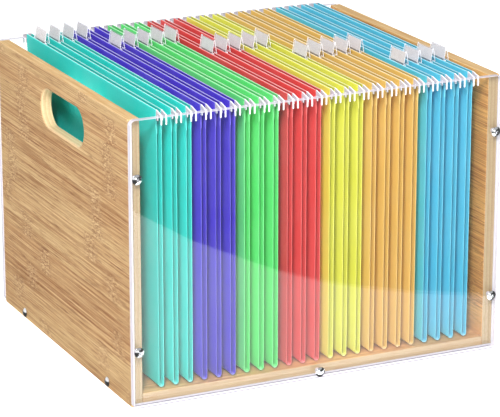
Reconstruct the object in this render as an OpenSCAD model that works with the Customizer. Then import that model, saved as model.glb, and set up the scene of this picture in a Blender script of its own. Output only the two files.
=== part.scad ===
// Desktop file sorter: an open-topped box with two bamboo sides, a bamboo bottom and clear
// front and back panels, whose top edges are the rails for 23 letter-size hanging folders.
// Origin: middle of the footprint, on the table. +X runs along the row of folders, -Y is the
// front, +Z is up. Millimetres.

/* [Box] */
// Width over both side panels
box_w = 356; // [345:1:420]
// Height of the side panels and of the rails
box_h = 255; // [245:1:300]
// Distance between the inner faces of the two clear panels
panel_depth = 305; // [303:0.5:308]
// Thickness of the bamboo boards
bamboo_t = 11; // [9:0.5:13]
// Thickness of the clear panels
clear_t = 6; // [5:0.5:6.5]
// Corner radius of the clear panels
clear_corner_r = 5; // [2:0.5:10]

/* [Hand holes] */
// Length of a hand hole, end to end
grip_len = 101; // [90:1:130]
// Height of a hand hole
grip_h = 35; // [30:1:42]
// Distance from the top edge of the board to the middle of the hand hole
grip_drop = 35; // [32:1:60]
// Distance from the middle of the board to the middle of the hand hole, towards the front
grip_forward = 4; // [0:0.5:10]
// Size of the bevel round a hand hole
grip_bevel = 2; // [1:0.5:4]

/* [Screws] */
// Diameter of a screw's domed head
head_d = 9; // [7:0.5:10]
// Height of a screw's domed head
head_h = 2.4; // [1.5:0.1:3]
// Diameter of a screw's shank
shank_d = 3.9; // [3:0.1:4.5]
// Length of the shank of a clear panel's screw
clear_screw_len = 18; // [14:1:22]
// Length of the shank of a side panel's screw
side_screw_len = 25; // [18:1:30]

/* [Folders] */
// Distance from one folder to the next
folder_pitch = 13.55; // [12.5:0.05:13.6]
// Distance from the middle of the box to the middle of the row of folders, to the right
row_shift = 1; // [0:0.1:1.5]
// Distance between the two leaves of a folder
leaf_gap = 4.4; // [3.5:0.1:4.5]
// Thickness of the card
card_t = 0.4; // [0.3:0.05:0.5]
// Length of a leaf along the folder
leaf_len = 298.5; // [295:0.5:299]
// Height of a leaf's top edge above the rails
leaf_rise = 4.5; // [4.2:0.1:5.5]
// Clearance between a folder's crease and the bottom board
floor_gap = 2; // [1.5:0.5:10]
// Height of the hem that holds a rod
hem_h = 9; // [8.5:0.5:12]

/* [Hangers] */
// Thickness of a hanger rod, a flat steel strip
rod_t = 0.8; // [0.6:0.1:0.9]
// Height of a hanger rod
rod_h = 7.2; // [6:0.1:7.6]
// Thickness of a plastic hook
hook_t = 1.2; // [1.1:0.1:1.6]
// Thickness of a hook's outer leg
hook_leg_t = 1.3; // [1.2:0.1:2.4]
// Thickness of a hook over the outer edge of the rail
hook_bridge_t = 2.2; // [1.8:0.1:4]
// Reach of a hook's outer leg below the top of the rail
hook_drop = 6.5; // [5:0.5:9]

/* [Tabs] */
// Length of an index tab
tab_len = 27; // [20:1:40]
// Height of an index tab above its leaf
tab_h = 12.5; // [10:0.5:16]
// Thickness of a tab's plastic
tab_t = 0.5; // [0.4:0.05:0.6]

/* [Hidden] */
$fn = 48;

// Colours of the folders from left to right, with the number of folders of each
GROUPS = [["teal", 3], ["purple", 3], ["green", 3], ["red", 3], ["yellow", 3], ["orange", 4], ["blue", 4]];
SHADES = [
    [0.24, 0.80, 0.75], [0.33, 0.24, 0.78], [0.36, 0.84, 0.48], [0.84, 0.28, 0.30],
    [0.88, 0.86, 0.34], [0.92, 0.70, 0.36], [0.35, 0.74, 0.88]
];
// Middle of the index tab along Y, in the five columns from the back to the front
TAB_PLACES = [118, 70, 18, -34.5, -93];
// Number of index tabs in each column, from the left-most folder on
TAB_COUNTS = [4, 5, 5, 5, 4];

FOLDERS = [for (g = [0:len(GROUPS) - 1]) for (n = [1:GROUPS[g][1]]) [g, n]];
FOLDER_COUNT = len(FOLDERS);
TAB_COLUMNS = [for (c = [0:len(TAB_COUNTS) - 1]) for (n = [1:TAB_COUNTS[c]]) c];

BOX_NODES = [
    "left_side_panel", "right_side_panel", "bottom_panel", "front_clear_panel", "back_clear_panel",
    "front_panel_screws", "back_panel_screws", "left_side_screws", "right_side_screws"
];

function folder_name(i) = str(GROUPS[FOLDERS[i][0]][0], "_folder_", FOLDERS[i][1]);
function leaf_node(i, side) = str(folder_name(i), "_", side, "_leaf");
function folder_x(i) = row_shift + (i - (FOLDER_COUNT - 1) / 2) * folder_pitch;

bamboo = [0.82, 0.67, 0.46];
clear_plastic = [0.90, 0.93, 0.96, 0.35];
chrome = [0.75, 0.76, 0.78];
steel = [0.60, 0.61, 0.63];
white_plastic = [0.96, 0.96, 0.97];
label_card = [0.84, 0.83, 0.85];

side_x = box_w / 2 - bamboo_t / 2;
inner_w = box_w - 2 * bamboo_t;
clear_in = panel_depth / 2;
clear_out = clear_in + clear_t;
leaf_top = box_h + leaf_rise;
crease_z = bamboo_t + floor_gap;
leaf_end = leaf_len / 2;

// Screws: heights up the side panels, and offsets along the bottom board
SIDE_SCREW_HEIGHTS = [0.2 * box_h, 0.8 * box_h];
BOTTOM_SCREW_Y = [-100, 100];
bottom_z = bamboo_t / 2;
clearance_hole_d = shank_d + 0.5;
pilot_hole_d = shank_d + 0.1;
pilot_spare = 2;
socket_across = 2.5;
socket_depth = 1.5;

// Hanger and hem
hem_t = rod_t + 0.1 + 2 * card_t;
hem_wall = card_t;
rod_end = leaf_end + 1.8;
rod_slack = 0.05;
hook_start = leaf_end + 0.1;
rail_slack = 0.3;
hang_gap_left = 0.05;
hang_gap_right = 0.3;
hook_round = 0.8;
hook_flat = 1.2;

// Index tab
tab_top_w = 1.2;
tab_seat = 0.1;
tab_float = 0.4;
tab_tongue = 7;
tab_tongue_in = 0.9;
label_t = 0.25;
label_from = 2.6;
label_to = tab_h - 1.6;
label_slack = 0.08;

// ---------------------------------------------------------------- shared shapes

// Points of a quarter turn about c, starting at angle a
function quarter(c, r, a, steps = 6) =
    [for (k = [0:steps]) c + r * [cos(a + 90 * k / steps), sin(a + 90 * k / steps)]];

// A rectangle of size w by h, centred in X and standing on Y = 0, with round corners
module round_plate(w, h, r) {
    polygon(concat(
        quarter([w / 2 - r, r], r, -90),
        quarter([w / 2 - r, h - r], r, 0),
        quarter([-w / 2 + r, h - r], r, 90),
        quarter([-w / 2 + r, r], r, 180)
    ));
}

// Stands an XZ outline up and gives it a length along Y, centred on y
module along_y(length, y = 0) {
    translate([0, y + length / 2, 0]) rotate([90, 0, 0]) linear_extrude(height = length) children();
}

// Hole along X or Y from a start point
module hole_y(x, y, z, d, length) {
    translate([x, y, z]) rotate([-90, 0, 0]) cylinder(d = d, h = length);
}
module hole_x(x, y, z, d, length) {
    translate([x, y, z]) rotate([0, 90, 0]) cylinder(d = d, h = length);
}

// ---------------------------------------------------------------- box

// Cutter for a hand hole through a board that lies between x = 0 and x = bamboo_t
module grip_cutter() {
    r = grip_h / 2;
    straight = grip_len - grip_h;
    spare = 0.5;
    half = [
        [0, -spare], [r + grip_bevel + spare, -spare], [r, grip_bevel],
        [r, bamboo_t - grip_bevel], [r + grip_bevel + spare, bamboo_t + spare], [0, bamboo_t + spare]
    ];
    for (end = [-1, 1])
        translate([0, end * straight / 2, 0]) rotate([0, 90, 0]) rotate_extrude() polygon(half);
    translate([0, straight / 2, 0]) rotate([0, 90, 0]) rotate([90, 0, 0]) linear_extrude(height = straight)
        union() {
            polygon(half);
            mirror([1, 0, 0]) polygon(half);
        }
}

module side_panel_blank() {
    pilot = clear_screw_len - clear_t + pilot_spare;
    difference() {
        translate([0, -clear_in, 0]) cube([bamboo_t, panel_depth, box_h]);
        translate([0, -grip_forward, box_h - grip_drop]) grip_cutter();
        for (z = SIDE_SCREW_HEIGHTS) {
            hole_y(bamboo_t / 2, -clear_in - 1, z, pilot_hole_d, pilot + 1);
            hole_y(bamboo_t / 2, clear_in - pilot, z, pilot_hole_d, pilot + 1);
        }
        for (y = BOTTOM_SCREW_Y) hole_x(-1, y, bottom_z, clearance_hole_d, bamboo_t + 2);
    }
}

module left_side_panel() {
    color(bamboo) translate([-box_w / 2, 0, 0]) side_panel_blank();
}

module right_side_panel() {
    color(bamboo) translate([box_w / 2 - bamboo_t, 0, 0]) side_panel_blank();
}

module bottom_panel() {
    front_pilot = clear_screw_len - clear_t + pilot_spare;
    end_pilot = side_screw_len - bamboo_t + pilot_spare;
    color(bamboo) difference() {
        translate([-inner_w / 2, -clear_in, 0]) cube([inner_w, panel_depth, bamboo_t]);
        hole_y(0, -clear_in - 1, bottom_z, pilot_hole_d, front_pilot + 1);
        hole_y(0, clear_in - front_pilot, bottom_z, pilot_hole_d, front_pilot + 1);
        for (y = BOTTOM_SCREW_Y) {
            hole_x(-inner_w / 2 - 1, y, bottom_z, pilot_hole_d, end_pilot + 1);
            hole_x(inner_w / 2 - end_pilot, y, bottom_z, pilot_hole_d, end_pilot + 1);
        }
    }
}

// A clear panel whose near face lies at y
module clear_panel(y) {
    color(clear_plastic) difference() {
        along_y(clear_t, y + clear_t / 2) round_plate(box_w, box_h, clear_corner_r);
        for (x = [-side_x, side_x], z = SIDE_SCREW_HEIGHTS) hole_y(x, y - 1, z, clearance_hole_d, clear_t + 2);
        hole_y(0, y - 1, bottom_z, clearance_hole_d, clear_t + 2);
    }
}

module front_clear_panel() {
    clear_panel(-clear_out);
}

module back_clear_panel() {
    clear_panel(clear_in);
}

// Dome-head screw with a hexagonal socket: the head stands on z = 0, the shank goes down
module dome_screw(length) {
    ball_r = (pow(head_d / 2, 2) + pow(head_h, 2)) / (2 * head_h);
    color(chrome) difference() {
        union() {
            intersection() {
                translate([0, 0, head_h - ball_r]) sphere(r = ball_r);
                cylinder(d = head_d + 1, h = head_h + 1);
            }
            translate([0, 0, -length]) cylinder(d = shank_d, h = length + head_h / 2);
        }
        translate([0, 0, head_h - socket_depth]) cylinder(d = socket_across / cos(30), h = socket_depth + 1, $fn = 6);
    }
}

// The five screws of a clear panel; end is -1 at the front and 1 at the back
module clear_panel_screws(end) {
    for (x = [-side_x, side_x], z = SIDE_SCREW_HEIGHTS)
        translate([x, end * clear_out, z]) rotate([-90 * end, 0, 0]) dome_screw(clear_screw_len);
    translate([0, end * clear_out, bottom_z]) rotate([-90 * end, 0, 0]) dome_screw(clear_screw_len);
}

module front_panel_screws() {
    clear_panel_screws(-1);
}

module back_panel_screws() {
    clear_panel_screws(1);
}

// The two screws low on a side panel; end is -1 on the left and 1 on the right
module side_panel_screws(end) {
    for (y = BOTTOM_SCREW_Y)
        translate([end * box_w / 2, y, bottom_z]) rotate([0, 90 * end, 0]) dome_screw(side_screw_len);
}

module left_side_screws() {
    side_panel_screws(-1);
}

module right_side_screws() {
    side_panel_screws(1);
}

// ---------------------------------------------------------------- hanging folders
// Each half of a folder is drawn as the left one, about the folder's middle plane x = 0.
// The right half is its mirror image, without the tab.

// Upright slot shape of width w and height h, centred on x and standing on z
module slot_shape(x, z, w, h) {
    translate([x, z + w / 2]) circle(d = w);
    translate([x, z + h - w / 2]) circle(d = w);
    translate([x - w / 2, z + w / 2]) square([w, h - w]);
}

// Half of the folded card: a quarter of the crease, the flat leaf and the hem round its rod
module half_sheet() {
    leaf_x = leaf_gap / 2;
    outer_r = leaf_x + card_t / 2;
    inner_r = leaf_x - card_t / 2;
    bend_z = crease_z + outer_r;
    along_y(leaf_len) difference() {
        union() {
            difference() {
                translate([0, bend_z]) circle(r = outer_r);
                translate([0, bend_z]) circle(r = inner_r);
                translate([0, crease_z - 1]) square([2 * outer_r, 4 * outer_r]);
                translate([-2 * outer_r, bend_z]) square([4 * outer_r, 2 * outer_r]);
            }
            translate([-outer_r, bend_z]) square([card_t, leaf_top - hem_h / 2 - bend_z]);
            slot_shape(-leaf_x, leaf_top - hem_h, hem_t, hem_h);
        }
        slot_shape(-leaf_x, leaf_top - hem_h + hem_wall, hem_t - 2 * hem_wall, hem_h - 2 * hem_wall);
    }
}

// Flat steel strip in the hem
module rod() {
    translate([-leaf_gap / 2 - rod_t / 2, -rod_end, leaf_top - hem_h / 2 - rod_h / 2])
        cube([rod_t, 2 * rod_end, rod_h]);
}

// Plastic hook at the back end of a rod: inner shoulder, bridge that slopes down over the rail,
// outer leg
module hook(hang_gap) {
    leg_in = clear_out + rail_slack;
    leg_out = leg_in + hook_leg_t;
    leg_r = hook_leg_t / 2;
    low = box_h - hook_drop;
    end_z = box_h + hang_gap + hook_bridge_t;
    outline = concat(
        [[hook_start, leaf_top], [hook_start, leaf_top - hem_h], [clear_in - rail_slack, leaf_top - hem_h]],
        [[clear_in - rail_slack, box_h + hang_gap], [leg_in, box_h + hang_gap]],
        quarter([leg_in + leg_r, low + leg_r], leg_r, 180, 4),
        quarter([leg_in + leg_r, low + leg_r], leg_r, 270, 4),
        quarter([leg_out - hook_round, end_z - hook_round], hook_round, 0),
        [[hook_start + hook_flat, leaf_top]]
    );
    difference() {
        translate([-leaf_gap / 2 - hook_t / 2, 0, 0]) rotate([90, 0, 90]) linear_extrude(height = hook_t)
            polygon(outline);
        translate([-leaf_gap / 2 - rod_t / 2 - rod_slack, 0, leaf_top - hem_h / 2 - rod_h / 2 - rod_slack])
            cube([rod_t + 2 * rod_slack, rod_end + rod_slack, rod_h + 2 * rod_slack]);
    }
}

// Tent-shaped index tab: its left foot sits on the left leaf's hem with a tongue in the folder
module tab() {
    foot = leaf_gap / 2 + tab_t / 2;
    top = tab_top_w / 2;
    inside = foot - tab_t;
    difference() {
        polygon([
            [-foot, tab_seat], [-tab_tongue_in, tab_seat], [-tab_tongue_in, -tab_tongue],
            [-tab_tongue_in + tab_t, -tab_tongue], [-tab_tongue_in + tab_t, tab_float],
            [foot, tab_float], [top, tab_h], [-top, tab_h]
        ]);
        polygon([
            [-inside, tab_seat + tab_t], [0.2 - tab_tongue_in + tab_t, tab_seat + tab_t],
            [0.2 - tab_tongue_in + tab_t, 0], [inside + 0.02, 0], [top - tab_t + 0.02, tab_h - tab_t],
            [-top + tab_t - 0.02, tab_h - tab_t]
        ]);
    }
}

// Blank card behind the tab's left wall
module label() {
    foot = leaf_gap / 2 - tab_t / 2;
    top = tab_top_w / 2 - tab_t;
    lean = (foot - top) / (tab_h - tab_t);
    low = -foot + lean * label_from + label_slack;
    high = -foot + lean * label_to + label_slack;
    polygon([
        [low, label_from], [low + label_t, label_from],
        [high + label_t, label_to], [high, label_to]
    ]);
}

module half_folder(i, hang_gap) {
    color(SHADES[FOLDERS[i][0]]) half_sheet();
    color(steel) rod();
    color(white_plastic) hook(hang_gap);
    color(white_plastic) mirror([0, 1, 0]) hook(hang_gap);
}

module left_leaf(i) {
    tab_y = TAB_PLACES[TAB_COLUMNS[i]];
    translate([folder_x(i), 0, 0]) {
        half_folder(i, hang_gap_left);
        translate([0, 0, leaf_top]) {
            color(white_plastic) along_y(tab_len, tab_y) tab();
            color(label_card) along_y(tab_len - 1, tab_y) label();
        }
    }
}

module right_leaf(i) {
    translate([folder_x(i), 0, 0]) mirror([1, 0, 0]) half_folder(i, hang_gap_right);
}

left_side_panel();
right_side_panel();
bottom_panel();
front_clear_panel();
back_clear_panel();
front_panel_screws();
back_panel_screws();
left_side_screws();
right_side_screws();
for (i = [0:FOLDER_COUNT - 1]) {
    left_leaf(i);
    right_leaf(i);
}
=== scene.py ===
import math
import random

import bmesh
import bpy
from mathutils import Matrix, Vector


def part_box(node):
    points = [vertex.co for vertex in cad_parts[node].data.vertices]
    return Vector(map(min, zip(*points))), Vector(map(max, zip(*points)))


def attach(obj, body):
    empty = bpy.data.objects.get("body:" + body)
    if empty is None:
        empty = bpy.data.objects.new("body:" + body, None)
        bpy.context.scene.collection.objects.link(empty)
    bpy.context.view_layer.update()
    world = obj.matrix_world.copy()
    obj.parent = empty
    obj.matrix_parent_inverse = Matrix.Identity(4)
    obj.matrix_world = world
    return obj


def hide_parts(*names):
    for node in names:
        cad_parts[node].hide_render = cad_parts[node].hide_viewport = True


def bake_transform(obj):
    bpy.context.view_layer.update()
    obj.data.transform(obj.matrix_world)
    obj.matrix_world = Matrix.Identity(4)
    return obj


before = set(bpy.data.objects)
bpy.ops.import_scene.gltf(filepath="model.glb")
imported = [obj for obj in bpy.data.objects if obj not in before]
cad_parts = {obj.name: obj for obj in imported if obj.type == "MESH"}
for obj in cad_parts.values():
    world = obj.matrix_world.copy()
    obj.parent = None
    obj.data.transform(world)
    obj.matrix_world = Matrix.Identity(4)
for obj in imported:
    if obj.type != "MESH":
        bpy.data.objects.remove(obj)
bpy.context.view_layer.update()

# Everything is in metres, in the CAD model's frame: +X along the row of folders, -Y to the
# front, +Z up. Sizes come from the frame's boxes where a box holds them.

MM = 0.001
BOX_BODY = "box"

SIDE_LOW, SIDE_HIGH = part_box("left_side_panel")
FLOOR_LOW, FLOOR_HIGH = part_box("bottom_panel")
FRONT_LOW, FRONT_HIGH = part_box("front_clear_panel")

BOX_W = FRONT_HIGH.x - FRONT_LOW.x
BOX_H = FRONT_HIGH.z
BOARD_T = SIDE_HIGH.x - SIDE_LOW.x
BOARD_Y = SIDE_HIGH.y
CLEAR_T = FRONT_HIGH.y - FRONT_LOW.y
CLEAR_OUT = BOARD_Y + CLEAR_T

CLEAR_CORNER_R = 5 * MM
GRIP_LEN, GRIP_H, GRIP_DROP, GRIP_FORWARD, GRIP_ROUND = 101 * MM, 35 * MM, 35 * MM, 4 * MM, 2 * MM
BOARD_ROUND = 0.8 * MM
CLEAR_ROUND = 0.35 * MM
CLEAR_GAP = 0.12 * MM      # between the boards and the clear panels

HEAD_D, HEAD_H, SHANK_D, SOCKET_FLATS = 9 * MM, 2.4 * MM, 3.9 * MM, 2.5 * MM
CLEAR_SCREW_LEN, SIDE_SCREW_LEN = 18 * MM, 25 * MM
SIDE_SCREW_HEIGHTS = (0.2 * BOX_H, 0.8 * BOX_H)
BOTTOM_SCREW_Y = (-100 * MM, 100 * MM)

GROUPS = (("teal", 3), ("purple", 3), ("green", 3), ("red", 3), ("yellow", 3), ("orange", 4), ("blue", 4))
TAB_PLACES = (118 * MM, 70 * MM, 18 * MM, -34.5 * MM, -93 * MM)
TAB_COUNTS = (4, 5, 5, 5, 4)
LEAF_GAP, CARD_T, LEAF_LEN = 4.4 * MM, 0.4 * MM, 298.5 * MM
LEAF_TOP = BOX_H + 4.5 * MM
CREASE_Z = BOARD_T + 2 * MM
HEM_H = 9 * MM
ROD_T, ROD_H = 0.8 * MM, 7.2 * MM
HOOK_T, HOOK_LEG_T, HOOK_BRIDGE_T, HOOK_DROP, HOOK_ROUND = 1.2 * MM, 1.3 * MM, 2.2 * MM, 6.5 * MM, 0.8 * MM
RAIL_SLACK = 0.3 * MM
HANG_GAPS = (0.05 * MM, 0.3 * MM)      # under the bridges of the left and the right leaf's hooks
TAB_LEN, TAB_H, TAB_T = 27 * MM, 12.5 * MM, 0.5 * MM


# ---------------------------------------------------------------- colour and node helpers

def linear(red, green, blue):
    """An sRGB colour from 0 to 255, as Blender's linear values with full alpha."""
    def one(c):
        c /= 255
        return c / 12.92 if c <= 0.04045 else ((c + 0.055) / 1.055) ** 2.4
    return (one(red), one(green), one(blue), 1.0)


class Nodes:
    """A material's node tree, built by short calls."""

    def __init__(self, name):
        self.material = bpy.data.materials.new(name)
        self.material.use_nodes = True
        self.tree = self.material.node_tree
        self.tree.nodes.clear()
        self.output = self.tree.nodes.new("ShaderNodeOutputMaterial")

    def add(self, kind, settings=None, **inputs):
        """A node of that kind. An input is a value, or the socket that feeds it; _ stands for a space."""
        made = self.tree.nodes.new("ShaderNode" + kind)
        for key, value in (settings or {}).items():
            setattr(made, key, value)
        for key, value in inputs.items():
            self.feed(made.inputs[int(key[1:]) if key[1:].isdigit() else key.replace("_", " ")], value)
        return made

    def feed(self, socket, value):
        if isinstance(value, bpy.types.NodeSocket):
            self.tree.links.new(value, socket)
        else:
            socket.default_value = value

    def math(self, operation, a, b=0.0, c=0.0):
        return self.add("Math", {"operation": operation}, i0=a, i1=b, i2=c).outputs[0]

    def ramp(self, value, stops):
        """A colour ramp with (place, colour) stops."""
        made = self.add("ValToRGB", None, Fac=value)
        ramp = made.color_ramp
        while len(ramp.elements) < len(stops):
            ramp.elements.new(0.5)
        for element, (place, colour) in zip(ramp.elements, stops):
            element.position = place
            element.color = colour if hasattr(colour, "__len__") else (colour, colour, colour, 1)
        return made.outputs["Color"]

    def share(self, value, start, end, top):
        """Rises from 0 to top while the value goes from start to end."""
        return self.add("MapRange", None, Value=value, i1=start, i2=end, i3=0.0, i4=top).outputs[0]

    def product(self, a, b):
        return self.math("MULTIPLY", a, b)

    def mix(self, share, a, b, blend="MIX"):
        made = self.add("Mix", {"data_type": "RGBA", "blend_type": blend})
        self.feed(made.inputs[0], share)
        self.feed(made.inputs[6], a)
        self.feed(made.inputs[7], b)
        return made.outputs[2]

    def noise(self, vector, scale, detail=3.0, roughness=0.5, distortion=0.0):
        made = self.add("TexNoise", None, Vector=vector, Scale=scale, Detail=detail, Roughness=roughness,
                        Distortion=distortion)
        return made.outputs[0]

    def stretched(self, vector, x, y, z):
        """The same place scaled along each axis: a large scale makes the pattern short on that axis."""
        return self.add("Mapping", None, Vector=vector, Scale=(x, y, z)).outputs[0]

    def place(self):
        return self.add("TexCoord").outputs["Object"]

    def bump(self, height, strength, distance):
        return self.add("Bump", None, Height=height, Strength=strength, Distance=distance).outputs[0]

    def finish(self, shader):
        self.tree.links.new(shader, self.output.inputs["Surface"])
        return self.material


# ---------------------------------------------------------------- materials

WHITE, BLACK = (1, 1, 1, 1), (0, 0, 0, 1)
STRIP_W = 0.0232           # a glued strip of bamboo
FIRST_STRIP = 40.37        # keeps the strips' numbers positive
LIGHT_WOOD = (linear(196, 166, 117), linear(186, 149, 102))
KNUCKLE_SPACING = 0.205
KNUCKLE_SPREAD = 0.100     # how far a strip's knuckles stray from its neighbours'
KNUCKLE_SLANT = -0.13      # how far they lag along the grain per metre across the strips
# Painted light that brightens the hand hole's wall
GRIP_PAINTED_LIGHT = (1.62, 1.55, 1.55, 1)
# Painted light, brighter and warmer, on the right board's inner face and the bottom board's top
SIDE_PAINTED_LIGHT, FLOOR_PAINTED_LIGHT = (1.6, 1.22, 0.86, 1), (1.5, 1.32, 1.1, 1)


def bamboo(name, along, across, through, long_edge, inner=1, tint=(1, 1, 1, 1)):
    """Side-pressed bamboo board. along, across and through are the axis numbers of the grain, the
    strips' width and the board's thickness; long_edge has the colours of the edges along the grain.
    tint is painted light on the face on the board's inner side, +1 or -1 along the thickness: it makes
    that face brighter and warmer, for light bounced inside the box."""
    n = Nodes(name)
    axes = n.add("SeparateXYZ", None, Vector=n.place()).outputs
    u, v, w = axes[along], axes[across], axes[through]
    wander = n.product(n.noise(n.add("CombineXYZ", None, X=u).outputs[0], 6.0, 1.0), 0.0016)
    lane = n.math("ADD", n.math("DIVIDE", n.math("ADD", v, wander), STRIP_W), FIRST_STRIP)
    strip = n.math("FLOOR", lane)
    line = {"noise_dimensions": "1D"}
    tone = n.add("TexWhiteNoise", line, W=strip).outputs["Value"]
    tone_b = n.add("TexWhiteNoise", line, W=n.math("ADD", strip, 71.3)).outputs["Value"]
    flow = n.add("CombineXYZ", None, X=u, Y=v, Z=n.product(strip, 0.37)).outputs[0]

    fibre = n.noise(n.stretched(flow, 7, 1050, 1), 1.0, 4.0, 0.60)
    hair = n.noise(n.stretched(flow, 22, 2100, 1), 1.0, 2.0, 0.6)
    broad = n.noise(n.stretched(flow, 2.6, 48, 1), 1.0, 3.0, 0.55, 0.3)
    streaks = n.noise(n.stretched(flow, 2.6, 720, 1), 1.0, 2.0, 0.5, 0.2)
    busy = n.share(n.noise(n.stretched(flow, 5, 30, 1), 1.0, 2.0), 0.36, 0.60, 1.0)
    dashes = n.noise(n.stretched(flow, 34, 900, 1), 1.0, 2.0, 0.5)

    base = n.mix(tone, LIGHT_WOOD[0], LIGHT_WOOD[1])
    base = n.mix(n.share(broad, 0.42, 0.66, 0.50), base, linear(172, 126, 80))
    dark_fibre = n.product(n.share(fibre, 0.51, 0.40, 1.0), n.math("MULTIPLY_ADD", busy, 0.6, 0.4))
    base = n.mix(dark_fibre, base, linear(146, 100, 58))
    base = n.mix(n.share(fibre, 0.52, 0.68, 0.70), base, linear(220, 190, 142))
    base = n.mix(n.share(hair, 0.53, 0.68, 0.60), base, linear(136, 92, 54))
    base = n.mix(n.product(n.share(streaks, 0.57, 0.66, 0.70), busy), base, linear(136, 80, 40))
    base = n.mix(n.share(dashes, 0.59, 0.68, 0.70), base, linear(116, 68, 36))

    # Knuckles: a speckled band across each strip, roughly in line with its neighbours'
    beat = n.math("ADD", u, n.math("MULTIPLY_ADD", tone_b, KNUCKLE_SPREAD, -0.125))
    beat = n.math("DIVIDE", n.math("ADD", beat, n.product(v, KNUCKLE_SLANT)), KNUCKLE_SPACING)
    ragged = n.product(n.noise(n.stretched(flow, 70, 150, 1), 1.0, 2.0), 0.07)
    phase = n.math("FRACT", n.math("ADD", beat, 20.5))
    away = n.math("ABSOLUTE", n.math("SUBTRACT", phase, n.math("ADD", ragged, 0.465)))
    band = n.share(away, 0.090, 0.030, 1.0)
    speckle = n.noise(n.stretched(flow, 230, 760, 1), 1.0, 3.0, 0.7, 1.2)
    knuckle = n.product(band, n.share(speckle, 0.47, 0.56, 1.0))
    base = n.mix(n.product(band, 0.22), base, linear(150, 106, 66))
    base = n.mix(n.product(knuckle, 0.45), base, linear(122, 78, 42))
    base = n.mix(n.product(band, n.share(speckle, 0.50, 0.40, 0.65)), base, linear(222, 192, 144))

    # Glue lines between the strips
    side = n.math("ABSOLUTE", n.math("SUBTRACT", n.math("FRACT", lane), 0.5))
    seam = n.share(side, 0.486, 0.496, 1.0)
    base = n.mix(n.product(seam, 0.40), base, linear(134, 90, 50))

    # Painted light: the face on the inner side is made brighter and warmer, for light bounced inside the box
    normal = n.add("SeparateXYZ", None, Vector=n.add("TexCoord").outputs["Normal"]).outputs
    inside = n.share(n.product(normal[through], inner), 0.5, 0.8, 1.0)
    base = n.mix(inside, base, tint, "MULTIPLY")

    # The ends of the grain and the hand hole's wall are pale, in three plies
    edge = n.share(n.math("ABSOLUTE", normal[through]), 0.92, 0.62, 1.0)
    wobble = n.product(n.noise(n.place(), 50.0, 2.0), 0.3)
    layer = n.math("FRACT", n.math("MULTIPLY_ADD", n.math("ABSOLUTE", w), 270.0, wobble))
    grains = n.noise(n.stretched(n.place(), 420, 900, 900), 1.0, 3.0, 0.6)
    cut = n.ramp(layer, ((0.0, linear(167, 144, 108)), (0.42, linear(177, 151, 118)),
                         (0.90, linear(182, 163, 126)), (1.0, linear(154, 127, 87))))
    cut = n.mix(n.share(grains, 0.50, 0.72, 0.35), cut, linear(150, 116, 76))
    # Painted light: the hand hole's wall is brightened further
    in_grip = n.share(n.math("ABSOLUTE", u), 0.11, 0.09, 1.0)
    cut = n.mix(in_grip, cut, GRIP_PAINTED_LIGHT, "MULTIPLY")

    # The edges along the grain are streaked
    runs_at = n.add("CombineXYZ", None, X=n.product(u, 14.0), Y=n.product(w, 520.0),
                    Z=n.product(v, 90.0)).outputs[0]
    runs = n.noise(runs_at, 1.0, 3.0, 0.6, 0.4)
    patches = n.noise(n.stretched(n.place(), 60, 60, 120), 1.0, 4.0, 0.65)
    long_cut = n.mix(n.share(runs, 0.36, 0.64, 1.0), long_edge[0], long_edge[1])
    long_cut = n.mix(n.share(patches, 0.50, 0.70, 0.50), long_cut, long_edge[2])
    top_edge = n.share(v, BOX_H - 1.6 * MM, BOX_H - 1.2 * MM, 1.0)
    bottom_edge = n.share(v, 1.6 * MM, 1.2 * MM, 1.0)
    long_place = 1.0 if across == 1 else n.math("MAXIMUM", top_edge, bottom_edge)
    cut = n.mix(long_place, cut, long_cut)
    base = n.mix(edge, base, cut)

    rough = n.ramp(fibre, ((0.2, 0.52), (0.8, 0.38)))
    pores = n.product(n.math("ADD", knuckle, seam), -0.25)
    height = n.math("ADD", n.math("ADD", fibre, n.product(hair, 0.4)), pores)
    shader = n.add("BsdfPrincipled", None, Base_Color=base, Roughness=rough,
                   Normal=n.bump(height, 0.3, 0.0002))
    shader.inputs["Coat Weight"].default_value = 0.1
    shader.inputs["Coat Roughness"].default_value = 0.3
    return n.finish(shader.outputs[0])


def clear_face():
    """Polished clear acrylic: what is behind shows, with the mirror image by Schlick's curve on the facing
    angle, so that both sides of the slab mirror alike. Light gathering along the rim is painted on."""
    n = Nodes("clear_acrylic_face")
    ripple = n.noise(n.place(), 9.0, 1.0)
    wiped = n.noise(n.stretched(n.place(), 12, 12, 160), 1.0, 4.0, 0.6)
    gloss = n.add("BsdfGlossy", None, Color=WHITE, Roughness=n.ramp(wiped, ((0.3, 0.012), (0.8, 0.05))),
                  Normal=n.bump(ripple, 0.03, 0.002))
    through = n.add("BsdfTransparent", None, Color=(0.985, 0.99, 0.992, 1))
    facing_away = n.add("LayerWeight", None, Blend=0.5).outputs["Facing"]
    share = n.math("MULTIPLY_ADD", n.math("POWER", facing_away, 5.0), 0.9, 0.035)
    mixed = n.add("MixShader", None, i0=share, i1=through.outputs[0], i2=gloss.outputs[0])

    # Painted highlight: next to the rim the face is a white band, for light gathered in the edge; painted
    # shade makes it greyer in the lowest millimetre
    x, _, z = n.add("SeparateXYZ", None, Vector=n.place()).outputs
    near_side = n.share(n.math("ABSOLUTE", x), BOX_W / 2 - 1.5 * MM, BOX_W / 2 - 1.2 * MM, 0.75)
    near_foot = n.share(z, 3.0 * MM, 2.6 * MM, 0.88)
    lit = n.mix(n.share(z, 1.3 * MM, 0.9 * MM, 1.0), linear(218, 215, 222), linear(134, 131, 142))
    rim = n.add("BsdfPrincipled", None, Base_Color=lit, Roughness=n.ramp(wiped, ((0.3, 0.3), (0.8, 0.4))))
    near_rim = n.math("MAXIMUM", near_side, near_foot)
    rimmed = n.add("MixShader", None, i0=near_rim, i1=mixed.outputs[0], i2=rim.outputs[0])
    return n.finish(rimmed.outputs[0])


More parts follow.
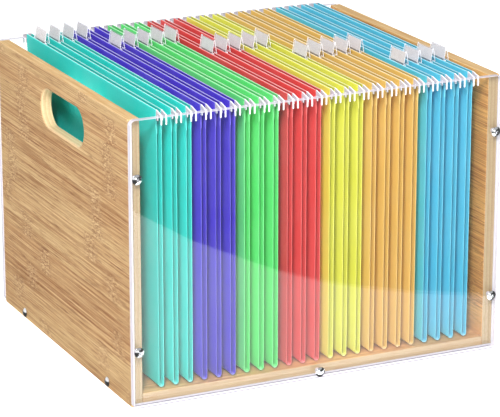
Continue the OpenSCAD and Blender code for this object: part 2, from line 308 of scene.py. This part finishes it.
def clear_edge():
    """The panel's cut edge, which gathers light and looks frosted white."""
    n = Nodes("clear_acrylic_edge")
    saw = n.noise(n.stretched(n.place(), 40, 900, 40), 1.0, 3.0, 0.6)
    body = n.add("BsdfPrincipled", None, Base_Color=n.mix(saw, linear(216, 211, 221), linear(206, 202, 213)),
                 Roughness=n.ramp(saw, ((0.3, 0.25), (0.7, 0.42))), Normal=n.bump(saw, 0.15, 0.0002))
    through = n.add("BsdfTransparent", None, Color=(0.96, 0.96, 0.99, 1))
    mixed = n.add("MixShader", None, i0=0.22, i1=body.outputs[0], i2=through.outputs[0])
    return n.finish(mixed.outputs[0])


def chrome():
    n = Nodes("chrome")
    polish = n.noise(n.place(), 2600.0, 3.0, 0.6)
    shader = n.add("BsdfPrincipled", None, Base_Color=(0.86, 0.87, 0.89, 1), Metallic=1.0,
                   Roughness=n.ramp(polish, ((0.3, 0.06), (0.75, 0.16))),
                   Normal=n.bump(polish, 0.04, 0.0001))
    return n.finish(shader.outputs[0])


def steel():
    n = Nodes("rod_steel")
    lines = n.noise(n.stretched(n.place(), 900, 6, 900), 1.0, 3.0, 0.6)
    grey = n.mix(lines, (0.50, 0.51, 0.53, 1), (0.62, 0.63, 0.65, 1))
    shader = n.add("BsdfPrincipled", None, Base_Color=grey, Metallic=1.0,
                   Roughness=n.ramp(lines, ((0.3, 0.28), (0.7, 0.45))), Normal=n.bump(lines, 0.1, 0.0001))
    return n.finish(shader.outputs[0])


def white_plastic(name, light, dark):
    n = Nodes(name)
    grain = n.noise(n.place(), 1800.0, 3.0, 0.6)
    tint = n.noise(n.place(), 90.0, 2.0)
    shader = n.add("BsdfPrincipled", None, Base_Color=n.mix(tint, light, dark),
                   Roughness=n.ramp(grain, ((0.3, 0.28), (0.75, 0.42))), Normal=n.bump(grain, 0.12, 0.0001))
    return n.finish(shader.outputs[0])


def card(name, colour, painted_shade=0.0, hem_painted_shade=0.10):
    """Coloured folder card, uncoated, with a fine felt of fibres. The hem's top and the crease get a painted
    highlight, paler towards white. darker is painted shade over it all, hem_painted_shade painted shade just
    below the hem's top."""
    n = Nodes(name)
    place = n.place()
    felt = n.noise(n.stretched(place, 900, 900, 1400), 1.0, 4.0, 0.65)
    fibres = n.noise(n.stretched(place, 300, 2400, 500), 1.0, 3.0, 0.6, 0.8)
    cloud = n.noise(place, 24.0, 2.0)
    base = n.mix(n.share(felt, 0.35, 0.70, 1.0), n.mix(0.07, colour, BLACK), n.mix(0.06, colour, WHITE))
    base = n.mix(n.share(cloud, 0.35, 0.75, 0.05), base, WHITE)
    z = n.add("Attribute", {"attribute_name": "rest_height"}).outputs["Fac"]
    # Painted shade: the part just below the hem's top is darkened, most on the faces inside the folder
    hem = n.share(z, LEAF_TOP - 14 * MM, LEAF_TOP - 4 * MM, hem_painted_shade)
    base = n.mix(hem, base, BLACK)
    # Painted shade over the whole card, for the faces inside the folder
    base = n.mix(1.0, base, (1 - painted_shade, 1 - painted_shade, 1 - painted_shade, 1), "MULTIPLY")
    # Painted highlights: the hem's top and the crease move towards white, for light caught where the card
    # bends round
    hem_top_highlight = n.share(z, LEAF_TOP - 0.24 * MM, LEAF_TOP - 0.08 * MM, 0.42)
    crease = n.share(z, CREASE_Z + 1.4 * MM, CREASE_Z + 0.5 * MM, 0.22)
    base = n.mix(n.math("ADD", hem_top_highlight, crease), base, WHITE)
    height = n.math("ADD", felt, n.product(fibres, 0.6))
    rough = n.ramp(fibres, ((0.3, 0.55), (0.7, 0.72)))
    shader = n.add("BsdfPrincipled", None, Base_Color=base, Roughness=rough,
                   Normal=n.bump(height, 0.16, 0.0001))
    shader.inputs["Specular IOR Level"].default_value = 0.2
    return n.finish(shader.outputs[0])


def label_card():
    n = Nodes("label_card")
    felt = n.noise(n.place(), 1500.0, 3.0, 0.6)
    paper = n.mix(felt, linear(226, 221, 218), linear(230, 226, 223))
    shader = n.add("BsdfPrincipled", None, Base_Color=paper,
                   Roughness=n.ramp(felt, ((0.3, 0.6), (0.7, 0.75))), Normal=n.bump(felt, 0.05, 0.0001))
    return n.finish(shader.outputs[0])


def tab_plastic():
    """Thin clear plastic with a slight haze."""
    n = Nodes("tab_plastic")
    haze = n.noise(n.place(), 140.0, 3.0, 0.6)
    rough = n.ramp(haze, ((0.3, 0.2), (0.7, 0.34)))
    body = n.add("BsdfPrincipled", None, Base_Color=linear(240, 240, 246), Roughness=rough)
    through = n.add("BsdfTransparent", None, Color=(0.97, 0.97, 0.98, 1))
    share = n.math("MULTIPLY_ADD", haze, 0.06, 0.06)
    mixed = n.add("MixShader", None, i0=share, i1=through.outputs[0], i2=body.outputs[0])
    return n.finish(mixed.outputs[0])


def floor_paint():
    """White sweep, lit from within a little so that it stays white around the box."""
    n = Nodes("studio_floor")
    shader = n.add("BsdfPrincipled", None, Base_Color=(0.93, 0.93, 0.93, 1), Roughness=0.9)
    shader.inputs["Specular IOR Level"].default_value = 0.0
    shader.inputs["Emission Color"].default_value = WHITE
    shader.inputs["Emission Strength"].default_value = 0.62
    return n.finish(shader.outputs[0])


def glow(name, strength):
    n = Nodes(name)
    return n.finish(n.add("Emission", None, Color=WHITE, Strength=strength).outputs[0])


# ---------------------------------------------------------------- mesh helpers

SHARP_ANGLE = math.radians(32)


def even_normals(piece):
    """Lets large flat faces keep their own normals, so that rounded rims don't bend their reflections."""
    change = piece.modifiers.new("even_normals", "WEIGHTED_NORMAL")
    change.keep_sharp = True
    change.weight = 100


def mesh_object(name, points, faces, materials, slots=None):
    """An object from points and faces; slots gives each face's material number."""
    mesh = bpy.data.meshes.new(name)
    mesh.from_pydata([tuple(p) for p in points], [], faces)
    for m in materials:
        mesh.materials.append(m)
    if slots:
        mesh.polygons.foreach_set("material_index", slots)
    tidy = bmesh.new()
    tidy.from_mesh(mesh)
    bmesh.ops.recalc_face_normals(tidy, faces=tidy.faces)
    tidy.to_mesh(mesh)
    tidy.free()
    mesh.polygons.foreach_set("use_smooth", [True] * len(mesh.polygons))
    mesh.set_sharp_from_angle(angle=SHARP_ANGLE)
    made = bpy.data.objects.new(name, mesh)
    bpy.context.scene.collection.objects.link(made)
    even_normals(made)
    return made


def joined(name, parts):
    """One object from several, which are removed. The materials are the first part's."""
    work = bmesh.new()
    for part in parts:
        work.from_mesh(part.data)
    mesh = bpy.data.meshes.new(name)
    work.to_mesh(mesh)
    work.free()
    for m in parts[0].data.materials:
        mesh.materials.append(m)
    for part in parts:
        old = part.data
        bpy.data.objects.remove(part)
        bpy.data.meshes.remove(old)
    made = bpy.data.objects.new(name, mesh)
    bpy.context.scene.collection.objects.link(made)
    even_normals(made)
    return made


def cut_away(target, cutters):
    """Takes the cutters out of target by an exact boolean."""
    cutter = joined("cutter", cutters)
    target.modifiers.clear()
    change = target.modifiers.new("cut", "BOOLEAN")
    change.object, change.operation, change.solver = cutter, "DIFFERENCE", "EXACT"
    shapes = bpy.context.evaluated_depsgraph_get()
    mesh = bpy.data.meshes.new_from_object(target.evaluated_get(shapes), depsgraph=shapes)
    target.modifiers.clear()
    target.data = mesh
    mesh.polygons.foreach_set("use_smooth", [True] * len(mesh.polygons))
    mesh.set_sharp_from_angle(angle=SHARP_ANGLE)
    bpy.data.objects.remove(cutter)
    even_normals(target)
    return target


def arc(centre, radius, start, turn, steps):
    """Points of an arc, in degrees."""
    out = []
    for k in range(steps + 1):
        angle = math.radians(start + turn * k / steps)
        out.append((centre[0] + radius * math.cos(angle), centre[1] + radius * math.sin(angle)))
    return out


def offset_line(points, by, closed):
    """The same outline moved sideways by a distance, to the right of its direction, with mitred corners."""
    count = len(points)
    out = []
    for k in range(count):
        ahead = points[(k + 1) % count] if closed or k + 1 < count else None
        behind = points[k - 1] if closed or k > 0 else None
        here = Vector(points[k])
        sides = []
        for a, b in ((behind, here), (here, ahead)):
            if a is not None and b is not None and (Vector(b) - Vector(a)).length > 1e-9:
                d = (Vector(b) - Vector(a)).normalized()
                sides.append(Vector((d.y, -d.x)))
        normal = sum(sides, Vector((0, 0))).normalized()
        stretch = max(0.35, normal.dot(sides[0]))
        out.append(tuple(here + normal * (by / stretch)))
    return out


def rounded_steps(depth, radius, steps=3):
    """(place through the thickness, inset) pairs of a slab whose two rims are rounded."""
    turns = [math.radians(90 * k / steps) for k in range(steps + 1)]
    near = [(radius * (1 - math.cos(turn)), radius * (1 - math.sin(turn))) for turn in turns]
    return near + [(depth - place, inset) for place, inset in reversed(near)]


def slab(name, outline, depth, radius, put, materials, rim_slot=0, steps=3):
    """A flat slab of that outline (counter-clockwise) with rounded rims. put(a, b, d) turns outline
    coordinates and depth into a point."""
    points, faces, slots = [], [], []
    count = len(outline)
    stations = rounded_steps(depth, radius, steps)
    for place, inset in stations:
        points += [put(a, b, place) for a, b in offset_line(outline, -inset, True)]
    for s in range(len(stations) - 1):
        for k in range(count):
            m = (k + 1) % count
            faces.append((s * count + k, s * count + m, (s + 1) * count + m, (s + 1) * count + k))
            slots.append(rim_slot)
    faces.append(tuple(reversed(range(count))))
    faces.append(tuple((len(stations) - 1) * count + k for k in range(count)))
    slots += [0, 0]
    return mesh_object(name, points, faces, materials, slots)


def lathe(profile, turns, put, name, materials):
    """A turned solid: profile is (radius, height) from the axis at the top to the axis at the bottom."""
    points, faces = [], []
    inner = profile[1:-1]
    angles = [math.tau * k / turns for k in range(turns)]
    for r, h in inner:
        points += [put(r * math.cos(angle), r * math.sin(angle), h) for angle in angles]
    top, bottom = len(points), len(points) + 1
    points += [put(0, 0, profile[0][1]), put(0, 0, profile[-1][1])]
    for s in range(len(inner) - 1):
        for k in range(turns):
            m = (k + 1) % turns
            faces.append((s * turns + k, s * turns + m, (s + 1) * turns + m, (s + 1) * turns + k))
    last = (len(inner) - 1) * turns
    for k in range(turns):
        m = (k + 1) % turns
        faces += [(top, m, k), (bottom, last + k, last + m)]
    return mesh_object(name, points, faces, materials)


def swept_card(name, path, thickness, y_low, y_high, stations, materials, bend=None, end_slot=1):
    """A bent sheet: path is its middle line in X and Z, swept along Y. bend(x, y, z) moves a point."""
    left = offset_line(path, thickness / 2, False)
    right = offset_line(path, -thickness / 2, False)
    ring = left + right[::-1]
    count, half = len(ring), len(left)
    points, faces, slots = [], [], []
    for s in range(stations + 1):
        y = y_low + (y_high - y_low) * s / stations
        for x, z in ring:
            points.append(bend(x, y, z) if bend else (x, y, z))
    for s in range(stations):
        for k in range(count):
            m = (k + 1) % count
            faces.append((s * count + k, s * count + m, (s + 1) * count + m, (s + 1) * count + k))
            slots.append(end_slot if k in (half - 1, count - 1) else 0)
    for s in (0, stations):
        for k in range(half - 1):
            face = (s * count + k, s * count + k + 1, s * count + count - 2 - k, s * count + count - 1 - k)
            faces.append(face if s else face[::-1])
            slots.append(end_slot)
    return mesh_object(name, points, faces, materials, slots)


# ---------------------------------------------------------------- box

def ray_to_rectangle(angle, low, high):
    c, s = math.cos(angle), math.sin(angle)
    reach = []
    if abs(c) > 1e-9:
        reach.append((high[0] if c > 0 else low[0]) / c)
    if abs(s) > 1e-9:
        reach.append((high[1] if s > 0 else low[1]) / s)
    t = min(r for r in reach if r > 0)
    return (c * t, s * t)


def ray_to_stadium(angle, half_straight, radius):
    c, s = math.cos(angle), math.sin(angle)
    if abs(s) > 1e-9 and abs(radius / s * c) <= half_straight:
        t = radius / abs(s)
    else:
        t = half_straight * abs(c) + math.sqrt(radius ** 2 - (half_straight * s) ** 2)
    return (c * t, s * t)


def side_panel(name, x_low, material):
    """A board with rounded rims and a rounded-over hand hole, in rings about the hole's middle."""
    grip_y, grip_z = -GRIP_FORWARD, BOX_H - GRIP_DROP
    low, high = (-BOARD_Y - grip_y, -grip_z), (BOARD_Y - grip_y, BOX_H - grip_z)
    corners = [math.atan2(z, y) for y in (low[0], high[0]) for z in (low[1], high[1])]
    even = [math.tau * k / 240 for k in range(240)]
    angles = sorted(even + [a % math.tau for a in corners])
    count = len(angles)
    points, faces = [], []
    outer, inner = [], []
    for place, inset in rounded_steps(BOARD_T, BOARD_ROUND):
        outer.append(len(points))
        box_low, box_high = [c + inset for c in low], [c - inset for c in high]
        for a in angles:
            y, z = ray_to_rectangle(a, box_low, box_high)
            points.append((x_low + place, grip_y + y, grip_z + z))
    for place, flare in rounded_steps(BOARD_T, GRIP_ROUND, 6):
        inner.append(len(points))
        for a in angles:
            y, z = ray_to_stadium(a, (GRIP_LEN - GRIP_H) / 2, GRIP_H / 2 + flare)
            points.append((x_low + place, grip_y + y, grip_z + z))
    strips = list(zip(outer, outer[1:])) + list(zip(inner, inner[1:]))
    strips += [(outer[0], inner[0]), (outer[-1], inner[-1])]
    for a, b in strips:
        for k in range(count):
            m = (k + 1) % count
            faces.append((a + k, a + m, b + m, b + k))
    return mesh_object(name, points, faces, [material])


def corner_outline(width, height, radius, steps):
    """A rectangle standing on 0 and centred, with round corners, counter-clockwise."""
    w, r = width / 2, radius
    return (arc((w - r, r), r, -90, 90, steps) + arc((w - r, height - r), r, 0, 90, steps)
            + arc((-w + r, height - r), r, 90, 90, steps) + arc((-w + r, r), r, 180, 90, steps))


def bottom_panel(material):
    width = FLOOR_HIGH.x - FLOOR_LOW.x
    outline = corner_outline(width, BOARD_T, BOARD_ROUND, 3)
    return slab("bottom_panel_bamboo", outline, 2 * BOARD_Y, BOARD_ROUND,
                lambda a, b, d: (a, -BOARD_Y + d, b), [material])


def screw_places():
    """(group, place of the head's underside, direction that the head faces, shank length)."""
    side_x = BOX_W / 2 - BOARD_T / 2
    out = []
    for group, end in (("front_panel_screws", -1), ("back_panel_screws", 1)):
        spots = [(x, z) for x in (-side_x, side_x) for z in SIDE_SCREW_HEIGHTS] + [(0, BOARD_T / 2)]
        out += [(group, Vector((x, end * CLEAR_OUT, z)), Vector((0, end, 0)), CLEAR_SCREW_LEN)
                for x, z in spots]
    for group, end in (("left_side_screws", -1), ("right_side_screws", 1)):
        out += [(group, Vector((end * BOX_W / 2, y, BOARD_T / 2)), Vector((end, 0, 0)), SIDE_SCREW_LEN)
                for y in BOTTOM_SCREW_Y]
    return out


def facing(place, direction):
    """A function that puts a point of a screw, whose head points up +Z, where it belongs."""
    turn = direction.to_track_quat("Z", "Y").to_matrix().to_4x4()
    move = Matrix.Translation(place) @ turn
    return lambda x, y, z: move @ Vector((x, y, z))


def dome_screw(place, direction, length, material):
    put = facing(place, direction)
    head_r = HEAD_D / 2
    ball = (head_r ** 2 + HEAD_H ** 2) / (2 * HEAD_H)
    tilts = [math.asin(head_r / ball) * k / 12 for k in range(12)]
    dome = [(ball * math.sin(tilt), HEAD_H - ball + ball * math.cos(tilt)) for tilt in tilts]
    rim = [(head_r, 0.25 * MM), (head_r - 0.12 * MM, 0.04 * MM), (head_r - 0.4 * MM, 0.0)]
    shank = [(SHANK_D / 2, 0.0), (SHANK_D / 2, -length + 1 * MM), (SHANK_D / 2 - 1 * MM, -length)]
    screw = lathe(dome + rim + shank + [(0.0, -length)], 48, put, "screw", [material])
    across = SOCKET_FLATS / 2 / math.cos(math.radians(30))
    key = [(0.0, HEAD_H + MM), (across, HEAD_H + MM), (across, HEAD_H - 1.3 * MM), (0.0, HEAD_H - 1.9 * MM)]
    return cut_away(screw, [lathe(key, 6, put, "socket", [material])])


def clear_panel(name, y_low, materials):
    outline = corner_outline(BOX_W, BOX_H, CLEAR_CORNER_R, 10)
    panel = slab(name, outline, CLEAR_T - CLEAR_GAP, CLEAR_ROUND, lambda a, b, d: (a, y_low + d, b),
                 materials, rim_slot=1, steps=2)
    side = -1 if y_low < 0 else 1
    holes = []
    for _, place, direction, _ in screw_places():
        if direction.y == side:
            put = facing(place, direction)
            radius = SHANK_D / 2 + 0.25 * MM
            profile = [(0.0, MM), (radius, MM), (radius, -CLEAR_T - MM), (0.0, -CLEAR_T - MM)]
            holes.append(lathe(profile, 32, put, "hole", [materials[1]]))
    return cut_away(panel, holes)


# ---------------------------------------------------------------- folders

def half_path(gap):
    """Middle line of the left half of a folder's card, from the crease up round the rod to the end of
    the glued flap, about the folder's middle plane."""
    g, t = gap / 2, CARD_T
    hem_r = ROD_T / 2 + 0.05 * MM + t / 2
    low, top = LEAF_TOP - HEM_H, LEAF_TOP - hem_r - t / 2
    path = arc((0, CREASE_Z + t / 2 + g), g, 270, -90, 8)

    # Up the leaf, outward to the hem, round the rod, and down the flap against the leaf
    bottom, high = CREASE_Z + t / 2 + g, low - 14 * MM
    path += [(-g, bottom + (high - bottom) * k / 10) for k in range(1, 11)]
    for k in range(1, 5):
        ease = (1 - math.cos(math.pi * k / 4)) / 2
        path.append((-g - hem_r * ease, high + 15 * MM * k / 4))
    path += arc((-g, top), hem_r, 180, -180, 8)
    flap = -g + t + 0.02 * MM
    for k in range(0, 4):
        ease = (1 - math.cos(math.pi * k / 3)) / 2
        path.append((-g + hem_r + (flap + g - hem_r) * ease, low + 1 * MM - 3 * MM * k / 3))
    path.append((flap, low - 12 * MM))
    return path


def folder_sheet(name, x, seed, materials):
    left = half_path(LEAF_GAP)
    right = [(-a, b) for a, b in left[1:]]
    path = [(x + a, b) for a, b in left[::-1] + right]
    draw = random.Random(seed)
    bows = {-1: draw.uniform(-0.10, 0.10) * MM, 1: draw.uniform(-0.10, 0.10) * MM}
    low, high = CREASE_Z + 6 * MM, LEAF_TOP - HEM_H - 18 * MM

    def bend(px, py, pz):
        side = -1 if px < x else 1
        if low < pz < high:
            up = math.sin(math.pi * (pz - low) / (high - low))
            px += bows[side] * up * math.cos(math.pi * py / LEAF_LEN * 0.8)
        return (px, py, pz)

    sheet = swept_card(name, path, CARD_T, -LEAF_LEN / 2, LEAF_LEN / 2, 12, materials, bend)
    # Faces turned into the folder take the third material, the copy with painted shade
    for face in sheet.data.polygons:
        if face.material_index == 0 and (face.center.x - x) * face.normal.x < 0:
            face.material_index = 2
    # The card's shading goes by this height, so that it stays in place on a lifted folder
    heights = sheet.data.attributes.new("rest_height", "FLOAT", "POINT")
    heights.data.foreach_set("value", [point.co.z for point in sheet.data.vertices])
    return sheet


def hook_outline(hang_gap):
    """Side view of a hook at the back end: Y and Z, counter-clockwise."""
    leg_in = CLEAR_OUT + RAIL_SLACK
    leg_out = leg_in + HOOK_LEG_T
    leg_r = HOOK_LEG_T / 2
    start, low = LEAF_LEN / 2 + 0.1 * MM, BOX_H - HOOK_DROP
    shoulder = BOARD_Y - RAIL_SLACK
    bridge_z = BOX_H + hang_gap
    end_z = bridge_z + HOOK_BRIDGE_T
    foot_z = LEAF_TOP - HEM_H
    return ([(start, foot_z), (shoulder, foot_z), (shoulder, bridge_z), (leg_in, bridge_z)]
            + arc((leg_in + leg_r, low + leg_r), leg_r, 180, 180, 8)
            + arc((leg_out - HOOK_ROUND, end_z - HOOK_ROUND), HOOK_ROUND, 0, 90, 5)
            + [(start + 1.2 * MM, LEAF_TOP), (start, LEAF_TOP)])


def hook(x, end, hang_gap, materials):
    outline = hook_outline(hang_gap)
    return slab("hook", outline, HOOK_T, 0.3 * MM, lambda a, b, d: (x - HOOK_T / 2 + d, end * a, b),
                materials, rim_slot=1, steps=2)


def rod(name, x, material):
    reach = LEAF_LEN / 2 + 1.8 * MM
    middle = LEAF_TOP - HEM_H / 2
    low, high = middle - ROD_H / 2, middle + ROD_H / 2
    outline = [(-reach, low), (reach, low), (reach, high), (-reach, high)]
    return slab(name, outline, ROD_T, 0.2 * MM, lambda a, b, d: (x - ROD_T / 2 + d, a, b), [material],
                steps=2)


def tab_shell(name, x, y, materials):
    """Tent of thin plastic on both hems, with a tongue down inside the left one."""
    foot, top, tongue = LEAF_GAP / 2, 0.35 * MM, 0.65 * MM
    path = [(-tongue, -7 * MM), (-tongue, 0.35 * MM), (-foot, 0.35 * MM), (-top, TAB_H - TAB_T / 2),
            (top, TAB_H - TAB_T / 2), (foot, 0.42 * MM)]
    path = [(x + a, LEAF_TOP + b) for a, b in path]
    return swept_card(name, path, TAB_T, y - TAB_LEN / 2, y + TAB_LEN / 2, 1, materials)


def tab_label(name, x, y, material):
    """Blank card that leans on the inside of the tent's left wall."""
    lean = (LEAF_GAP / 2 - 0.35 * MM) / (TAB_H - 0.6 * MM)
    inside = -LEAF_GAP / 2 + 0.45 * MM
    path = [(x + inside + lean * h, LEAF_TOP + h) for h in (1.4 * MM, TAB_H - 1.2 * MM)]
    reach = TAB_LEN / 2 - 0.8 * MM
    return swept_card(name, path, 0.25 * MM, y - reach, y + reach, 1, [material], end_slot=0)


# ---------------------------------------------------------------- stage

WORLD_LIGHT, KEY_WATTS, TOP_WATTS = 0.50, 93, 4
SHEET_GLOW, HAZE_GLOW, WINDOW_GLOW, PALE_GLOW, DARK_GLOW = 2.25, 0.45, 8.0, 1.0, 0.06


def make_camera():
    """A long lens from the photo's side. Gives back where it stands."""
    azimuth, elevation = math.radians(-25.5), math.radians(17.24)
    distance, aim_right, aim_up = 2.4747, 0.0065, 0.1066
    level = math.cos(elevation)
    back = Vector((math.sin(azimuth) * level, -math.cos(azimuth) * level, math.sin(elevation)))
    right = Vector((math.cos(azimuth), math.sin(azimuth), 0))
    up = back.cross(right)
    data = bpy.data.cameras.new("camera")
    data.lens, data.sensor_width = 191.3, 36
    camera = bpy.data.objects.new("camera", data)
    camera.location = back * distance + right * aim_right + up * aim_up
    camera.rotation_mode = "QUATERNION"
    camera.rotation_quaternion = back.to_track_quat("Z", "Y")
    bpy.context.scene.collection.objects.link(camera)
    bpy.context.scene.camera = camera
    return camera.location


def area_light(name, place, aim, size, power):
    data = bpy.data.lights.new(name, "AREA")
    data.shape, data.size, data.size_y = "RECTANGLE", size[0], size[1]
    data.energy = power
    lamp = bpy.data.objects.new(name, data)
    lamp.location = place
    lamp.rotation_mode = "QUATERNION"
    lamp.rotation_quaternion = (Vector(place) - Vector(aim)).to_track_quat("Z", "Y")
    lamp.visible_glossy = False
    bpy.context.scene.collection.objects.link(lamp)


def stage_card(name, corners, material):
    """A card that only mirrors see, to give the clear panel and the chrome something to reflect."""
    made = mesh_object(name, corners, [tuple(range(len(corners)))], [material])
    made.visible_camera = made.visible_diffuse = made.visible_transmission = False
    made.visible_shadow = made.visible_volume_scatter = False


def mirrored_on_floor(eye, x, z, height):
    """Where a ray from the eye ends at that height after the front panel mirrors it at x, z."""
    spot = Vector((x, -CLEAR_OUT, z))
    image = Vector((eye.x, -2 * CLEAR_OUT - eye.y, eye.z))
    return spot + (spot - image) * ((z - height) / (eye.z - z))


def square(reach, z):
    """Corners of a level square about the middle."""
    return [(-reach, -reach, z), (reach, -reach, z), (reach, reach, z), (-reach, reach, z)]


def make_stage(eye):
    world = bpy.data.worlds.new("studio")
    bpy.context.scene.world = world
    world.use_nodes = True
    world.node_tree.nodes["Background"].inputs["Color"].default_value = WHITE
    world.node_tree.nodes["Background"].inputs["Strength"].default_value = WORLD_LIGHT
    floor = mesh_object("studio_floor", square(8, 0), [(0, 1, 2, 3)], [floor_paint()])

    area_light("key", (-1.14, -1.89, 1.84), (0, 0, 0.12), (0.5, 0.7), KEY_WATTS)
    area_light("top", (-0.3, -0.2, 2.4), (0, 0, 0.1), (1.8, 1.8), TOP_WATTS)

    # Cards that only mirrors see. The bright one's outer edge is the curve across the clear front.
    half, low = BOX_W / 2, 4 * MM
    curve = [(-178, 178), (-123, 144), (-82, 124), (-40, 104), (0, 89), (42, 77), (96, 64), (151, 54),
             (178, 49)]
    shape = [(-half, low)] + [(x * MM, z * MM) for x, z in curve] + [(half, low)]
    sheet = [mirrored_on_floor(eye, x, z, 3 * MM) for x, z in shape]
    stage_card("mirror_sheet", sheet, glow("mirror_glow", SHEET_GLOW))
    front = ((-half, low), (-half, BOX_H), (half, BOX_H), (half, low))
    whole = [mirrored_on_floor(eye, x, z, 2 * MM) for x, z in front]
    stage_card("mirror_haze", whole, glow("mirror_haze", HAZE_GLOW))
    window = [(-1.15, -2.4, 1.0), (-0.75, -2.6, 1.0), (-0.75, -2.6, 1.5), (-1.15, -2.4, 1.5)]
    stage_card("mirror_window", window, glow("mirror_window", WINDOW_GLOW))

    # A dark floor and a ring of walls, pale to the left and dark to the right
    dark, pale = glow("mirror_dark", DARK_GLOW), glow("mirror_pale", PALE_GLOW)
    stage_card("mirror_floor", square(3.2, 1 * MM), dark)
    top, sides = 2.4, 12
    ring = arc((0, 0), 3.5, 0, 360, sides)
    for k, (a, b) in enumerate(zip(ring, ring[1:])):
        material = pale if a[0] + b[0] < 0 else dark
        stage_card(f"mirror_wall_{k + 1}", [(*a, 0.02), (*b, 0.02), (*b, top), (*a, top)], material)


# ---------------------------------------------------------------- build

def build_box():
    golden = (linear(202, 160, 106), linear(228, 196, 144), linear(210, 162, 98))
    cream = (linear(180, 150, 112), linear(194, 168, 130), linear(176, 130, 78))
    left_bamboo = bamboo("bamboo_left", along=1, across=2, through=0, long_edge=golden)
    # The right board's inner face and the bottom board's top are given painted light, brighter and warmer
    right_bamboo = bamboo("bamboo_right", along=1, across=2, through=0, long_edge=golden, inner=-1,
                          tint=SIDE_PAINTED_LIGHT)
    floor_bamboo = bamboo("bamboo_bottom", along=0, across=1, through=2, long_edge=cream, tint=FLOOR_PAINTED_LIGHT)
    shiny = chrome()
    clear = [clear_face(), clear_edge()]
    made = {
        "left_side_panel": side_panel("left_side_panel_bamboo", SIDE_LOW.x, left_bamboo),
        "right_side_panel": side_panel("right_side_panel_bamboo", -SIDE_HIGH.x, right_bamboo),
        "bottom_panel": bottom_panel(floor_bamboo),
        "front_clear_panel": clear_panel("front_clear_panel_acrylic", -CLEAR_OUT, clear),
        "back_clear_panel": clear_panel("back_clear_panel_acrylic", BOARD_Y + CLEAR_GAP, clear),
    }
    slots = ["bamboo", "bamboo", "bamboo", "clear_plastic", "clear_plastic"]
    groups = {}
    for group, place, direction, length in screw_places():
        groups.setdefault(group, []).append(dome_screw(place, direction, length, shiny))
    for group, screws in groups.items():
        made[group] = joined(group + "_chrome", screws)
        slots.append("chrome")
    for (node, piece), slot in zip(made.items(), slots):
        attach(piece, BOX_BODY)
        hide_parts(node)


SHADES = {
    "teal": linear(22, 226, 216), "purple": linear(74, 46, 216), "green": linear(98, 236, 128),
    "red": linear(236, 64, 62), "yellow": linear(236, 236, 80), "orange": linear(238, 198, 98),
    "blue": linear(84, 205, 232),
}
# How far the cut ends' painted highlight moves the card's colour towards white
EDGE_HIGHLIGHT = 0.08


def paler(colour, share):
    """That colour moved part of the way to white."""
    return tuple(value + (1 - value) * share for value in colour)


def build_folders():
    white = white_plastic("white_plastic", linear(246, 245, 250), linear(236, 236, 242))
    # The hooks' flat sides are a greyer copy of the white plastic, a painted shade; their rims take the
    # plain white
    hook_materials = [white_plastic("hook_plastic_painted_shade", linear(204, 199, 205), linear(190, 185, 194)), white]
    metal, blank = steel(), label_card()
    # The tab's cut ends and edges take the white plastic, a painted highlight along the clear tab's edges
    tab_materials = [tab_plastic(), white]
    columns = [column for column, count in enumerate(TAB_COUNTS) for _ in range(count)]
    index = 0
    for colour, count in GROUPS:
        shade = SHADES[colour]
        # Three copies of the card: plain, a paler one on the cut ends (painted highlight), and one with
        # painted shade for the faces inside the folder
        cards = [card(f"{colour}_card", shade), card(f"{colour}_card_edge_highlight", paler(shade, EDGE_HIGHLIGHT)),
                 card(f"{colour}_card_inside_painted_shade", shade, painted_shade=0.05, hem_painted_shade=0.34)]
        for number in range(1, count + 1):
            folder = f"{colour}_folder_{number}"
            left, right = folder + "_left_leaf", folder + "_right_leaf"
            low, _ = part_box(right)
            x = low.x
            sheet = folder_sheet(folder + "_sheet", x, index, cards)
            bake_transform(sheet)
            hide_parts(left, right)
            for side, body, hang_gap in ((-1, left, HANG_GAPS[0]), (1, right, HANG_GAPS[1])):
                at = x + side * LEAF_GAP / 2
                hooks = joined(body + "_hooks", [hook(at, end, hang_gap, hook_materials) for end in (-1, 1)])
                for piece in (hooks, rod(body + "_rod", at, metal)):
                    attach(piece, body)
            y = TAB_PLACES[columns[index]]
            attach(tab_shell(folder + "_tab", x, y, tab_materials), left)
            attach(tab_label(folder + "_label", x, y, blank), left)
            index += 1


make_stage(make_camera())
build_box()
build_folders()
bpy.context.scene.view_settings.view_transform = "Standard"
bpy.context.scene.cycles.transparent_max_bounces = 16
